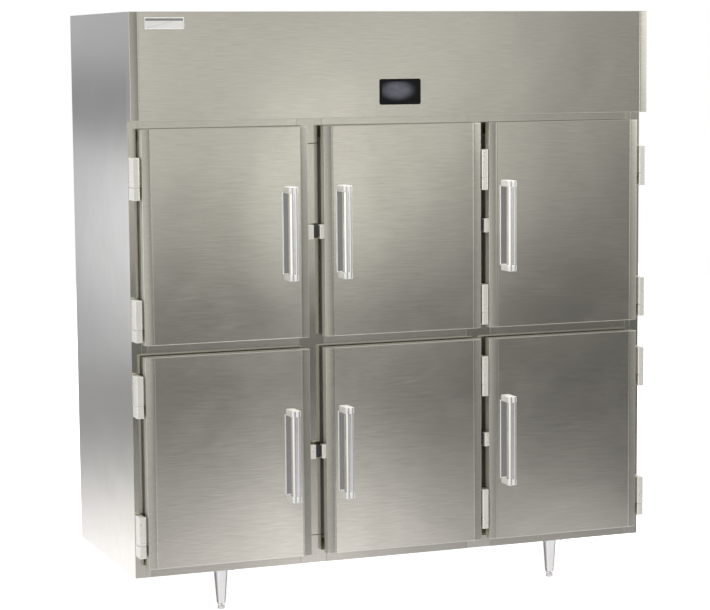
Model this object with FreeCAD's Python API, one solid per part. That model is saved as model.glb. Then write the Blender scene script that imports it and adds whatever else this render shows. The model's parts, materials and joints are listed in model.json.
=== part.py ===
import FreeCAD, Part
import math
import os

# Three-section reach-in proofing cabinet with six half-height doors.
# Frame: +Z up, front faces -Y, origin on the floor under the centre of the whole cabinet.

os.makedirs("parts", exist_ok=True)

# ---- Driving dimensions, mm ----
WIDTH = 1950.0            # over the side panels
BODY_HEIGHT = 1948.0      # carcass without its legs
LEG_HEIGHT = 152.0
DEPTH = 759.0             # face frame plane to the rear edge
DOOR_PROUD = 56.0         # face frame plane to the door face
HANDLE_REACH = 67.0       # door face to the front of the grip
SHEET = 1.0               # outer sheet
LINER_SHEET = 0.8         # inner sheet and door skins
FIT_GAP = 0.2             # between pieces that are screwed face to face

# header cover
HEADER_HEIGHT = 367.0
HEADER_PROUD = 59.0
HEADER_OVERHANG = 2.0
EDGE_STRIP = 32.0         # width of the shallow bevel along door and header ends
HEADER_EDGE_DROP = 4.0    # how far that bevel falls back on the header
DOOR_EDGE_DROP = 5.0      # and on the doors

# face frame
POST_WIDTH = 36.0
STRIP_WIDTH = 21.0        # seal landing beside each post
FRAME_DEPTH = 58.5
MULLION_WIDTH = 95.0
MULLION_CENTERS = (-319.0, 324.0)
FRAME_TOP = 1744.0
OPENINGS_Z = {"lower": (252.0, 900.0), "upper": (996.0, 1644.0)}
BREAKER_WIDTH = 12.0
BREAKER_FRONT = 0.8       # set back from the frame plane
BREAKER_BACK = 30.0

# insulated box
LINER_HALF = 918.0
LINER_BACK = 384.0
FLOOR_Z = 212.0
CEILING_Z = 1684.0
BACK_RECESS = 12.0
FLANGE = 20.0

# doors: left and right edge of each column, side of the hinge, handle centre from the free edge
DOOR_HEIGHT = 738.0
DOOR_BACK = 19.0          # door's rear plane in front of the frame plane
DOOR_SKIN_GAP = 0.3
COLUMNS = {
    "left": (-941.0, -344.0, -1, 77.0),
    "center": (-284.0, 313.0, 1, 62.0),
    "right": (345.7, 941.0, 1, 60.0),
}
ROWS = {"lower": 190.0, "upper": 968.0}
GASKET_WIDTH = 18.0
GASKET_SIDE = 3.0
GASKET_FAR = {"lower": (47.0, 3.0), "upper": (3.0, 42.0)}   # inset at the bottom and the top
GASKET_GAP = 0.3
PLUG_MARGIN = 9.0         # gasket to the raised inner panel
PLUG_FRONT = 7.0

# cam-lift edge hinges
HINGE_RADIUS = 12.5        # half width of a hinge block
HINGE_HEIGHT = 145.0
HINGE_FIXED = 43.0        # lower part, which stays on the frame
HINGE_AXIS_PROUD = 42.0
HINGE_AXIS_X = {"left": -961.5, "center": 329.4, "right": 961.5}
HINGE_OFFSETS = {"lower": (41.0, 529.0), "upper": (12.0, 497.0)}  # above the door's bottom edge
HINGE_LEAF = 3.0
HINGE_TAIL_GAP = 10.0
HINGE_PIN_RADIUS = 5.0
HINGE_PIN_FIT = 0.05
HINGE_WING = (40.0, 26.0)  # front and back of the wing, in front of the frame plane
HINGE_ROUND = 5.0

# latch
LATCH_HEIGHT = 50.0
LATCH_WIDTHS = {"left": 21.0, "center": 17.0, "right": 18.2}
LATCH_FRONT, LATCH_BACK = 50.0, 26.0
KEEPERS_X = ((-321.5, -302.5), (316.0, 325.5))
KEEPER_HEIGHT = 44.0
KEEPER_PROUD = 38.0

# handle
HANDLE_HEIGHT = 325.0
POST_HEIGHT = 23.0
HANDLE_WIDTH = 32.0
GRIP_WIDTH = 29.0
GRIP_DEPTH = 28.0
GRIP_INSET = 1.0          # grip front behind the posts' front
PLATE_WIDTH = 42.0
PLATE_THICKNESS = 2.5
GROOVE_WIDTH = 10.0
GROOVE_DEPTH = 1.5

# display and nameplate
DISPLAY_WIDTH, DISPLAY_HEIGHT = 156.0, 90.0
DISPLAY_DROP = 280.0      # cabinet top to the display's centre
DISPLAY_CORNER = 6.0
DISPLAY_RIM = 8.0
DISPLAY_PROUD = 2.5
PLATE_SIZE = (139.0, 40.0)
PLATE_LEFT, PLATE_DROP = 50.0, 20.0
PLATE_RIM = 3.0

# tray slides
TRAY_WIDTH = 457.0
SLIDE_LEDGE = 25.0
SLIDE_HEIGHT = 25.0
SLIDES_PER_BAY = 3
SLIDE_PITCH = 180.0
FIRST_SLIDE = 100.0       # opening's lower edge to the lowest ledge
SLIDE_FRONT, SLIDE_BACK = -243.0, 372.0
UPRIGHT_WIDTH, UPRIGHT_DEPTH = 12.0, 25.0
UPRIGHTS_Y = (-205.0, 320.0)

# legs
LEG_X = 645.0
LEG_FRONT_INSET = 70.0
LEG_BACK_INSET = 100.0
LEG_TOP_RADIUS, LEG_END_RADIUS = 25.0, 15.5
LEG_PLATE, LEG_PLATE_THICKNESS = 90.0, 4.0
FOOT_HEIGHT, FOOT_RADIUS, FOOT_ROUND = 21.0, 12.5, 4.0
STEM_RADIUS, STEM_LENGTH, STEM_FIT = 6.0, 50.0, 0.05

# warm-air unit above the ceiling
AIR_CENTER_Y = 195.0
AIR_HALF = 170.0
AIR_TOP = 1900.0
AIR_HOLE_HALF = 150.0
WHEEL_RADIUS, WHEEL_HEIGHT, WHEEL_Z = 100.0, 60.0, 1800.0
WHEEL_BLADES = 24
WHEEL_RING = 4.0
BLADE_LENGTH, BLADE_THICKNESS = 20.0, 1.6
HUB_RADIUS, SHAFT_RADIUS, SHAFT_FIT = 16.0, 6.0, 0.05
MOTOR_RADIUS, MOTOR_HEIGHT = 55.0, 95.0
HEATER_RADIUS, HEATER_TUBE, HEATER_Z = 128.0, 5.0, 1770.0
SLOT_COUNT, SLOT_WIDTH, SLOT_PITCH = 11, 12.0, 24.0
TANK_X, TANK_Y, TANK_Z = (350.0, 650.0), (60.0, 310.0), (1744.2, 1924.0)
STEAM_RADIUS, STEAM_WALL, STEAM_Z = 16.0, 2.0, 1860.0
CONTROL_X, CONTROL_Y, CONTROL_Z = (-160.0, 160.0), (-300.0, -160.0), (1760.0, 1960.0)
GLAND_X, GLAND_Z = -600.0, 1980.0
GLAND_FLANGE, GLAND_BODY, GLAND_BORE = 20.0, 13.0, 7.0
GLAND_INSIDE, GLAND_PROUD = 20.0, 10.0

# ---- Derived positions ----
OVERALL_DEPTH = DEPTH + DOOR_PROUD + HANDLE_REACH
Y_BACK = OVERALL_DEPTH / 2
Y_FACE = Y_BACK - DEPTH
HALF = WIDTH / 2
Z_BASE = LEG_HEIGHT
Z_TOP = LEG_HEIGHT + BODY_HEIGHT
Z_HEADER = Z_TOP - HEADER_HEIGHT
Y_BEHIND_FRAME = Y_FACE + FRAME_DEPTH + 0.3
Y_BACK_SHEET = Y_BACK - BACK_RECESS - SHEET
Y_LINER_BACK = LINER_BACK + LINER_SHEET
Y_DOOR = Y_FACE - DOOR_PROUD
Y_GRIP = Y_DOOR - HANDLE_REACH
Z_AXIS = FreeCAD.Vector(0, 0, 1)


def block(x, y, z):
    """A box from three (low, high) pairs."""
    size = [pair[1] - pair[0] for pair in (x, y, z)]
    return Part.makeBox(*size, FreeCAD.Vector(x[0], y[0], z[0]))


def rod(x, y, z, radius):
    """An upright cylinder between two heights."""
    return Part.makeCylinder(radius, z[1] - z[0], FreeCAD.Vector(x, y, z[0]))


def prism(points, z):
    """A plan outline extruded between two heights."""
    corners = [FreeCAD.Vector(px, py, z[0]) for px, py in points]
    return Part.Face(Part.makePolygon(corners + corners[:1])).extrude(FreeCAD.Vector(0, 0, z[1] - z[0]))


def fuse(shapes):
    """One solid from touching shapes, with merged faces."""
    return shapes[0].fuse(shapes[1:]).removeSplitter()


def grown(pair, amount):
    """A (low, high) pair widened at both ends."""
    return (pair[0] - amount, pair[1] + amount)


def around(center, half):
    """A (low, high) pair about a centre."""
    return (center - half, center + half)


def tray(x, y, z, axis, side):
    """A sheet pan: a box hollowed out through one side. axis is 0, 1 or 2; side is -1 or 1."""
    inner = [list(grown(pair, -SHEET)) for pair in (x, y, z)]
    end = 0 if side < 0 else 1
    inner[axis][end] = (x, y, z)[axis][end] + side
    return block(x, y, z).cut(block(*inner))


def ring(x, y, z, width):
    """A rectangular ring that faces Y."""
    return block(x, y, z).cut(block(grown(x, -width), grown(y, 1), grown(z, -width)))


def save(name, shapes):
    """Writes one node: one solid or a group of separate solids."""
    Part.makeCompound(shapes).exportStep(f"parts/{name}.step")


def openings():
    """The face frame's openings as (column, row, x pair, z pair)."""
    half = MULLION_WIDTH / 2
    left, right = MULLION_CENTERS
    edges = {
        "left": (-LINER_HALF, left - half),
        "center": (left + half, right - half),
        "right": (right + half, LINER_HALF),
    }
    return [(column, row, edges[column], OPENINGS_Z[row]) for column in edges for row in OPENINGS_Z]


def beveled_front(x, y_front, y_back, drop, inset=0.0):
    """Plan outline of a pan whose front falls back along both ends."""
    x0, x1 = x
    strip = EDGE_STRIP
    return [
        (x0 + inset, y_back),
        (x0 + inset, y_front + drop + inset),
        (x0 + strip, y_front + inset),
        (x1 - strip, y_front + inset),
        (x1 - inset, y_front + drop + inset),
        (x1 - inset, y_back),
    ]


# ---- Carcass ----

def make_side_panels():
    z = (Z_BASE, Z_TOP)
    y = (Y_FACE + SHEET, Y_BACK)
    save("side_panel_left", [tray((-HALF, -HALF + FLANGE), y, z, 0, 1)])
    save("side_panel_right", [tray((HALF - FLANGE, HALF), y, z, 0, -1)])


def make_back_top_and_base():
    """Rear, top and bottom sheets; the rear one has the hole for the supply gland."""
    x = around(0, HALF - FLANGE - FIT_GAP)
    y_rear = Y_BACK_SHEET - FIT_GAP
    start = FreeCAD.Vector(GLAND_X, Y_BACK_SHEET - 1, GLAND_Z)
    hole = Part.makeCylinder(GLAND_BODY + FIT_GAP, SHEET + 2, start, FreeCAD.Vector(0, 1, 0))
    save("back_panel", [tray(x, (Y_BACK_SHEET, Y_BACK), (Z_BASE, Z_TOP), 1, 1).cut(hole)])
    save("top_panel", [tray(x, (Y_FACE + SHEET + FIT_GAP, y_rear), (Z_TOP - FLANGE, Z_TOP), 2, -1)])
    save("base_panel", [tray(x, (Y_BEHIND_FRAME, y_rear), (Z_BASE, Z_BASE + FLANGE), 2, 1)])


def make_stiles():
    """Each stile is a corner post and a separate seal landing with a jamb."""
    z = (Z_BASE, FRAME_TOP)
    face = (Y_FACE, Y_FACE + SHEET)
    seam = HALF - POST_WIDTH
    solids = []
    for side in (-1, 1):
        post = sorted((side * HALF, side * (seam + FIT_GAP)))
        landing = sorted((side * (seam - FIT_GAP), side * LINER_HALF))
        jamb = sorted((side * (LINER_HALF + SHEET), side * LINER_HALF))
        solids.append(block(post, face, (Z_BASE, Z_TOP)))
        solids.append(fuse([block(landing, face, z), block(jamb, (Y_FACE, Y_FACE + FRAME_DEPTH), z)]))
    save("stiles", solids)


def tube(x, z, axis):
    """A rectangular frame tube, open along axis 0 or 2."""
    y = (Y_FACE, Y_FACE + FRAME_DEPTH)
    inner = [grown(pair, -SHEET) for pair in (x, y, z)]
    inner[axis] = grown((x, y, z)[axis], 1)
    return block(x, y, z).cut(block(*inner))


def make_mullions_and_rails():
    """Mullions in three lengths, jointed at the openings' ends, and rails between them."""
    half = MULLION_WIDTH / 2
    joints = (OPENINGS_Z["lower"][0], OPENINGS_Z["upper"][1])
    lengths = ((Z_BASE, joints[0]), grown(joints, -FIT_GAP), (joints[1], FRAME_TOP))
    save("mullions", [tube(around(center, half), z, 2) for center in MULLION_CENTERS for z in lengths])
    columns = [grown(x, -FIT_GAP) for column, row, x, z in openings() if row == "upper"]
    heights = {
        "top_rails": (OPENINGS_Z["upper"][1], FRAME_TOP),
        "middle_rails": (OPENINGS_Z["lower"][1], OPENINGS_Z["upper"][0]),
        "bottom_rails": (Z_BASE, OPENINGS_Z["lower"][0]),
    }
    for name, z in heights.items():
        save(name, [tube(x, z, 0) for x in columns])


def make_breaker_strips():
    """Four plastic strips line each opening, butted at the corners."""
    y = (Y_FACE + BREAKER_FRONT, Y_FACE + BREAKER_BACK)
    solids = []
    for column, row, x, z in openings():
        x = grown(x, -FIT_GAP)
        z = grown(z, -FIT_GAP)
        between = grown(x, -BREAKER_WIDTH - FIT_GAP)
        solids.append(block((x[0], x[0] + BREAKER_WIDTH), y, z))
        solids.append(block((x[1] - BREAKER_WIDTH, x[1]), y, z))
        solids.append(block(between, y, (z[0], z[0] + BREAKER_WIDTH)))
        solids.append(block(between, y, (z[1] - BREAKER_WIDTH, z[1])))
    save("breaker_strips", solids)


def make_liner():
    """Five inner panels; the ceiling one has return-air slots under the warm-air unit."""
    y = (Y_BEHIND_FRAME, LINER_BACK - FIT_GAP)
    across = around(0, LINER_HALF + LINER_SHEET)
    ceiling = block(across, y, (CEILING_Z, CEILING_Z + LINER_SHEET))
    first = -SLOT_PITCH * (SLOT_COUNT - 1) / 2
    depth, height = around(AIR_CENTER_Y, AIR_HOLE_HALF), around(CEILING_Z, 5)
    for i in range(SLOT_COUNT):
        slot = around(first + i * SLOT_PITCH, SLOT_WIDTH / 2)
        ceiling = ceiling.cut(block(slot, depth, height))
    solids = [ceiling, block(across, y, (FLOOR_Z - LINER_SHEET, FLOOR_Z))]
    solids.append(block(across, (LINER_BACK, Y_LINER_BACK), (FLOOR_Z - LINER_SHEET, CEILING_Z + LINER_SHEET)))
    for side in (-1, 1):
        x = sorted((side * LINER_HALF, side * (LINER_HALF + LINER_SHEET)))
        solids.append(block(x, y, grown((FLOOR_Z, CEILING_Z), -FIT_GAP)))
    save("liner_panels", solids)


def make_insulation():
    """Foam boards between the sheets, with an air hole in the ceiling board."""
    z_side = (Z_BASE + FLANGE + FIT_GAP, FRAME_TOP)
    inner = LINER_HALF + SHEET + FIT_GAP
    outer = HALF - SHEET - FIT_GAP
    y_front = Y_FACE + 2 * SHEET + FIT_GAP
    y_box = (Y_BEHIND_FRAME, Y_LINER_BACK)
    across = around(0, LINER_HALF + LINER_SHEET)
    solids = [block(sorted((s * inner, s * outer)), (y_front, Y_LINER_BACK), z_side) for s in (-1, 1)]
    solids.append(block(around(0, outer), (Y_LINER_BACK + FIT_GAP, Y_BACK_SHEET - FIT_GAP), z_side))
    solids.append(block(across, y_box, (z_side[0], FLOOR_Z - LINER_SHEET - FIT_GAP)))
    ceiling = block(across, y_box, (CEILING_Z + LINER_SHEET + FIT_GAP, FRAME_TOP))
    air = (around(0, AIR_HOLE_HALF), around(AIR_CENTER_Y, AIR_HOLE_HALF))
    solids.append(ceiling.cut(block(*air, grown((CEILING_Z, FRAME_TOP), 5))))
    save("insulation", solids)


# ---- Header ----

def display_hole():
    x = around(0, DISPLAY_WIDTH / 2 - DISPLAY_RIM)
    return x, around(Z_TOP - DISPLAY_DROP, DISPLAY_HEIGHT / 2 - DISPLAY_RIM)


def make_header():
    x = around(0, HALF + HEADER_OVERHANG)
    y_front = Y_FACE - HEADER_PROUD
    shell = prism(beveled_front(x, y_front, Y_FACE, HEADER_EDGE_DROP), (Z_HEADER, Z_TOP))
    inside = beveled_front(x, y_front, Y_FACE + 1, HEADER_EDGE_DROP, SHEET)
    hollow = prism(inside, grown((Z_HEADER, Z_TOP), -SHEET))
    hole_x, hole_z = display_hole()
    window = block(hole_x, around(y_front, 10), hole_z)
    save("header_cover", [shell.cut(hollow).cut(window)])


def make_display():
    """A rounded bezel on the header with a glass screen set into it."""
    y_front = Y_FACE - HEADER_PROUD
    x = around(0, DISPLAY_WIDTH / 2)
    z = around(Z_TOP - DISPLAY_DROP, DISPLAY_HEIGHT / 2)
    bezel = block(x, (y_front - DISPLAY_PROUD, y_front), z)
    corners = [e for e in bezel.Edges if abs(e.tangentAt(e.FirstParameter).y) > 0.9]
    bezel = bezel.makeFillet(DISPLAY_CORNER, corners)
    hole_x, hole_z = display_hole()
    save("display_bezel", [bezel.cut(block(hole_x, grown((y_front - DISPLAY_PROUD, y_front), 1), hole_z))])
    glass_y = (y_front - DISPLAY_PROUD + 0.6, y_front + 4)
    save("display_screen", [block(grown(hole_x, -FIT_GAP), glass_y, grown(hole_z, -FIT_GAP))])


def make_nameplate():
    """A blank plate with a raised rim."""
    y_front = Y_FACE - HEADER_PROUD
    x0 = -HALF + PLATE_LEFT
    z1 = Z_TOP - PLATE_DROP
    x, z = (x0, x0 + PLATE_SIZE[0]), (z1 - PLATE_SIZE[1], z1)
    plate = block(x, (y_front - 3, y_front), z)
    recess = block(grown(x, -PLATE_RIM), (y_front - 4, y_front - 2), grown(z, -PLATE_RIM))
    save("nameplate", [plate.cut(recess)])


# ---- Doors ----

def door_box(column, row):
    z0 = ROWS[row]
    return COLUMNS[column][:2], (z0, z0 + DOOR_HEIGHT)


def gasket_box(column, row):
    x, z = door_box(column, row)
    low, high = GASKET_FAR[row]
    return grown(x, -GASKET_SIDE), (z[0] + low, z[1] - high)


def make_door_panels(column, row):
    """Outer pan, inner pan with its raised panel, and the seal between them and the frame."""
    x, z = door_box(column, row)
    y_back = Y_FACE - DOOR_BACK
    shell = prism(beveled_front(x, Y_DOOR, y_back, DOOR_EDGE_DROP), z)
    inside = beveled_front(x, Y_DOOR, y_back + 1, DOOR_EDGE_DROP, LINER_SHEET)
    hollow = prism(inside, grown(z, -LINER_SHEET))
    save(f"{row}_{column}_door_pan", [shell.cut(hollow)])
    gasket_x, gasket_z = gasket_box(column, row)
    inset = LINER_SHEET + DOOR_SKIN_GAP
    plate = block(grown(x, -inset), (y_back - LINER_SHEET, y_back), grown(z, -inset))
    margin = GASKET_WIDTH + PLUG_MARGIN
    plug = [grown(gasket_x, -margin), (y_back - LINER_SHEET, Y_FACE - PLUG_FRONT), grown(gasket_z, -margin)]
    recess_y = (plug[1][0] - 1, plug[1][1] - LINER_SHEET)
    recess = block(grown(plug[0], -LINER_SHEET), recess_y, grown(plug[2], -LINER_SHEET))
    save(f"{row}_{column}_door_liner", [plate.fuse(block(*plug)).cut(recess).removeSplitter()])
    gasket_y = (y_back, Y_FACE - GASKET_GAP)
    save(f"{row}_{column}_door_gasket", [ring(gasket_x, gasket_y, gasket_z, GASKET_WIDTH)])


def make_handle(column, row):
    """A cast pull: back plate, two end posts and a grooved grip."""
    x, z = door_box(column, row)
    hinge_side, inset = COLUMNS[column][2:]
    center = x[1] - inset if hinge_side < 0 else x[0] + inset
    middle = sum(z) / 2
    span = around(middle, HANDLE_HEIGHT / 2)
    gap = grown(span, -POST_HEIGHT)
    shapes = [block(around(center, PLATE_WIDTH / 2), (Y_DOOR - PLATE_THICKNESS, Y_DOOR), gap)]
    for low in (span[0], gap[1]):
        post = block(around(center, HANDLE_WIDTH / 2), (Y_GRIP, Y_DOOR), (low, low + POST_HEIGHT))
        fronts = [e for e in post.Edges if e.BoundBox.YMax < Y_GRIP + 1]
        shapes.append(post.makeFillet(4, fronts))
    grip_y = (Y_GRIP + GRIP_INSET, Y_GRIP + GRIP_INSET + GRIP_DEPTH)
    grip = block(around(center, GRIP_WIDTH / 2), grip_y, gap)
    upright = [e for e in grip.Edges if e.BoundBox.ZLength > POST_HEIGHT]
    grip = grip.makeFillet(6, upright)
    groove_y = (grip_y[0] - 1, grip_y[0] + GROOVE_DEPTH)
    shapes.append(grip.cut(block(around(center, GROOVE_WIDTH / 2), groove_y, grown(gap, 1))))
    save(f"{row}_{column}_door_handle", [fuse(shapes)])


def knuckle(axis_x, y_back, z):
    """A hinge block about its pin, with rounded front edges."""
    y_front = Y_FACE - HINGE_AXIS_PROUD - HINGE_RADIUS
    body = block(around(axis_x, HINGE_RADIUS), (y_front, y_back), z)
    fronts = [e for e in body.Edges if e.BoundBox.YMax < y_front + 1 and e.BoundBox.ZLength > 1]
    return body.makeFillet(HINGE_ROUND, fronts)


def hinge_heights(row):
    """For each hinge of a door: its bottom, its split and its top."""
    bottoms = [ROWS[row] + offset for offset in HINGE_OFFSETS[row]]
    return [(z, z + HINGE_FIXED, z + HINGE_HEIGHT) for z in bottoms]


def make_hinge_bases():
    """Frame halves: leaf, lower knuckle and pin."""
    y_axis = Y_FACE - HINGE_AXIS_PROUD
    solids = []
    for column, axis_x in HINGE_AXIS_X.items():
        for row in ROWS:
            for bottom, split, top in hinge_heights(row):
                leaf = block(around(axis_x, HINGE_RADIUS), (Y_FACE - HINGE_LEAF, Y_FACE), (bottom, top))
                pin = rod(axis_x, y_axis, (bottom + 5, top - 20), HINGE_PIN_RADIUS)
                solids.append(fuse([knuckle(axis_x, Y_FACE, (bottom, split)), leaf, pin]))
    save("hinge_bases", solids)


def make_door_hardware(column, row):
    """Two upper knuckles with wings to the door's edge, and the latch block on the free edge."""
    x, z = door_box(column, row)
    axis_x = HINGE_AXIS_X[column]
    hinge_side = COLUMNS[column][2]
    edge, free = (x[0], x[1]) if hinge_side < 0 else (x[1], x[0])
    y_axis = Y_FACE - HINGE_AXIS_PROUD
    wing_y = (Y_FACE - HINGE_WING[0], Y_FACE - HINGE_WING[1])
    solids = []
    for bottom, split, top in hinge_heights(row):
        span = (split + 0.5, top)
        wing = block(sorted((axis_x - hinge_side * HINGE_RADIUS / 2, edge)), wing_y, span)
        moving = fuse([knuckle(axis_x, Y_FACE - HINGE_TAIL_GAP, span), wing])
        socket = rod(axis_x, y_axis, (split - 1, top - 20 + 1), HINGE_PIN_RADIUS + HINGE_PIN_FIT)
        solids.append(moving.cut(socket))
    latch_x = sorted((free, free - hinge_side * LATCH_WIDTHS[column]))
    latch_y = (Y_FACE - LATCH_FRONT, Y_FACE - LATCH_BACK)
    latch = block(latch_x, latch_y, around(sum(z) / 2, LATCH_HEIGHT / 2))
    tip = free - hinge_side * LATCH_WIDTHS[column]
    corner = [e for e in latch.Edges if abs(e.CenterOfMass.x - tip) < 1 and e.CenterOfMass.y < latch_y[0] + 1]
    solids.append(latch.makeFillet(4, [e for e in corner if e.BoundBox.ZLength > 1]))
    save(f"{row}_{column}_door_hinges", solids)


def make_latch_keepers():
    """Black keepers on the mullions, each with a rounded nose."""
    solids = []
    for x in KEEPERS_X:
        for z0 in ROWS.values():
            z = around(z0 + DOOR_HEIGHT / 2, KEEPER_HEIGHT / 2)
            keeper = block(x, (Y_FACE - KEEPER_PROUD, Y_FACE), z)
            nose = [e for e in keeper.Edges if e.BoundBox.YMax < Y_FACE - KEEPER_PROUD + 1]
            solids.append(keeper.makeFillet(3, nose))
    save("latch_keepers", solids)


# ---- Tray slides ----

def section_centers():
    return [sum(x) / 2 for column, row, x, z in openings() if row == "upper"]


def make_tray_slides():
    """Angle slides, ledge up and web down, in pairs on four uprights in each section."""
    wall = TRAY_WIDTH / 2 + 3
    uprights = []
    slides = []
    for center in section_centers():
        for side in (-1, 1):
            face = center + side * wall
            back = face + side * SHEET
            upright_x = sorted((back + side * FIT_GAP, back + side * (FIT_GAP + UPRIGHT_WIDTH)))
            for y in UPRIGHTS_Y:
                z = grown((FLOOR_Z, CEILING_Z), -FIT_GAP)
                uprights.append(block(upright_x, (y, y + UPRIGHT_DEPTH), z))
            for bay in OPENINGS_Z.values():
                for i in range(SLIDES_PER_BAY):
                    top = bay[0] + FIRST_SLIDE + i * SLIDE_PITCH
                    y = (SLIDE_FRONT, SLIDE_BACK)
                    web = block(sorted((face, back)), y, (top - SLIDE_HEIGHT, top))
                    ledge = block(sorted((back, face - side * SLIDE_LEDGE)), y, (top - SHEET, top))
                    slides.append(fuse([web, ledge]))
    save("slide_uprights", uprights)
    save("tray_slides", slides)


# ---- Legs ----

def leg_places():
    ys = (Y_FACE + LEG_FRONT_INSET, Y_BACK - LEG_BACK_INSET)
    return [(x, y) for x in (-LEG_X, LEG_X) for y in ys]


def make_legs():
    """Tapered legs with a bolting plate, and bullet feet screwed into them."""
    legs = []
    feet = []
    bore = (FOOT_HEIGHT - 1, FOOT_HEIGHT + STEM_LENGTH + 1)
    for x, y in leg_places():
        base = FreeCAD.Vector(x, y, FOOT_HEIGHT)
        cone = Part.makeCone(LEG_END_RADIUS, LEG_TOP_RADIUS, LEG_HEIGHT - FOOT_HEIGHT, base)
        half = LEG_PLATE / 2
        plate = block(around(x, half), around(y, half), (LEG_HEIGHT - LEG_PLATE_THICKNESS, LEG_HEIGHT))
        legs.append(fuse([cone, plate]).cut(rod(x, y, bore, STEM_RADIUS + STEM_FIT)))
        foot = rod(x, y, (0, FOOT_HEIGHT - FIT_GAP), FOOT_RADIUS)
        foot = foot.makeFillet(FOOT_ROUND, [e for e in foot.Edges if e.BoundBox.ZMax < 1])
        feet.append(fuse([foot, rod(x, y, (FOOT_HEIGHT / 2, FOOT_HEIGHT + STEM_LENGTH), STEM_RADIUS)]))
    save("legs", legs)
    save("bullet_feet", feet)


# ---- Warm-air unit and controls ----

def make_blower_wheel():
    """A bladed wheel on a short shaft: back plate, hub, rim and blades."""
    z0, z1 = WHEEL_Z, WHEEL_Z + WHEEL_HEIGHT
    plate = rod(0, AIR_CENTER_Y, (z1 - WHEEL_RING / 2, z1), WHEEL_RADIUS)
    rim = rod(0, AIR_CENTER_Y, (z0, z0 + WHEEL_RING), WHEEL_RADIUS)
    rim = rim.cut(rod(0, AIR_CENTER_Y, (z0 - 1, z0 + WHEEL_RING + 1), WHEEL_RADIUS - BLADE_LENGTH))
    hub = rod(0, AIR_CENTER_Y, (z1 - WHEEL_HEIGHT / 2, z1), HUB_RADIUS)
    shaft = rod(0, AIR_CENTER_Y, (z1 - 1, AIR_TOP + MOTOR_HEIGHT / 2), SHAFT_RADIUS)
    shapes = [plate, rim, hub, shaft]
    for i in range(WHEEL_BLADES):
        inner = WHEEL_RADIUS - BLADE_LENGTH
        y = around(AIR_CENTER_Y, BLADE_THICKNESS / 2)
        blade = block((inner + 1, WHEEL_RADIUS - 1), y, (z0 + 1, z1 - 0.5))
        blade.rotate(FreeCAD.Vector(inner, AIR_CENTER_Y, 0), Z_AXIS, 20)
        blade.rotate(FreeCAD.Vector(0, AIR_CENTER_Y, 0), Z_AXIS, 360.0 * i / WHEEL_BLADES)
        shapes.append(blade)
    save("blower_wheel", [fuse(shapes)])


def make_air_unit():
    """Housing over the ceiling hole, motor on top and a ring heater under the wheel."""
    x = around(0, AIR_HALF)
    y = around(AIR_CENTER_Y, AIR_HALF)
    shaft_hole = rod(0, AIR_CENTER_Y, (AIR_TOP - 10, AIR_TOP + 10), SHAFT_RADIUS + 2)
    steam_reach = FreeCAD.Vector(AIR_HALF - 10, AIR_CENTER_Y, STEAM_Z)
    steam_hole = Part.makeCylinder(STEAM_RADIUS + FIT_GAP, 20, steam_reach, FreeCAD.Vector(1, 0, 0))
    housing = tray(x, y, (FRAME_TOP + FIT_GAP, AIR_TOP), 2, -1)
    save("blower_housing", [housing.cut(shaft_hole).cut(steam_hole)])
    motor_z = (AIR_TOP + FIT_GAP, AIR_TOP + MOTOR_HEIGHT)
    motor = rod(0, AIR_CENTER_Y, motor_z, MOTOR_RADIUS)
    motor = motor.makeFillet(8, [e for e in motor.Edges if e.BoundBox.ZMin > motor_z[1] - 1])
    bore = rod(0, AIR_CENTER_Y, (AIR_TOP - 1, AIR_TOP + MOTOR_HEIGHT / 2 + 1), SHAFT_RADIUS + SHAFT_FIT)
    save("blower_motor", [motor.cut(bore)])
    loop = Part.makeTorus(HEATER_RADIUS, HEATER_TUBE, FreeCAD.Vector(0, AIR_CENTER_Y, HEATER_Z))
    y_end = AIR_CENTER_Y - HEATER_RADIUS
    stub = Part.makeCylinder(HEATER_TUBE, 30, FreeCAD.Vector(0, y_end, HEATER_Z), FreeCAD.Vector(0, -1, 0))
    save("heater_element", [loop.fuse(stub).removeSplitter()])


def make_humidity_tank():
    """A water tank with a lid lip and a steam pipe into the warm-air housing."""
    body = block(TANK_X, TANK_Y, TANK_Z)
    lid = block(grown(TANK_X, 6), grown(TANK_Y, 6), (TANK_Z[1] - 8, TANK_Z[1]))
    start = FreeCAD.Vector(AIR_HALF - SHEET, AIR_CENTER_Y, STEAM_Z)
    length = TANK_X[0] - start.x + 2 * SHEET
    x_axis = FreeCAD.Vector(1, 0, 0)
    pipe = Part.makeCylinder(STEAM_RADIUS, length, start, x_axis)
    passage = Part.makeCylinder(STEAM_RADIUS - STEAM_WALL, length + 40, start, x_axis)
    hollow = block(grown(TANK_X, -SHEET), grown(TANK_Y, -SHEET), grown(TANK_Z, -SHEET))
    save("humidity_tank", [fuse([body, lid, pipe]).cut(hollow).cut(passage)])


def make_controls():
    box_shell = tray(CONTROL_X, CONTROL_Y, CONTROL_Z, 1, 1)
    save("control_box", [box_shell])
    y_axis = FreeCAD.Vector(0, 1, 0)
    start = FreeCAD.Vector(GLAND_X, Y_BACK_SHEET - GLAND_INSIDE, GLAND_Z)
    total = GLAND_INSIDE + SHEET + GLAND_PROUD
    body = Part.makeCylinder(GLAND_BODY, total, start, y_axis)
    nut_start = FreeCAD.Vector(GLAND_X, Y_BACK_SHEET + SHEET, GLAND_Z)
    nut = Part.makeCylinder(GLAND_FLANGE, GLAND_PROUD * 0.6, nut_start, y_axis)
    bore_start = FreeCAD.Vector(GLAND_X, start.y - 1, GLAND_Z)
    bore = Part.makeCylinder(GLAND_BORE, total + 2, bore_start, y_axis)
    save("supply_gland", [fuse([body, nut]).cut(bore)])


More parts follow.
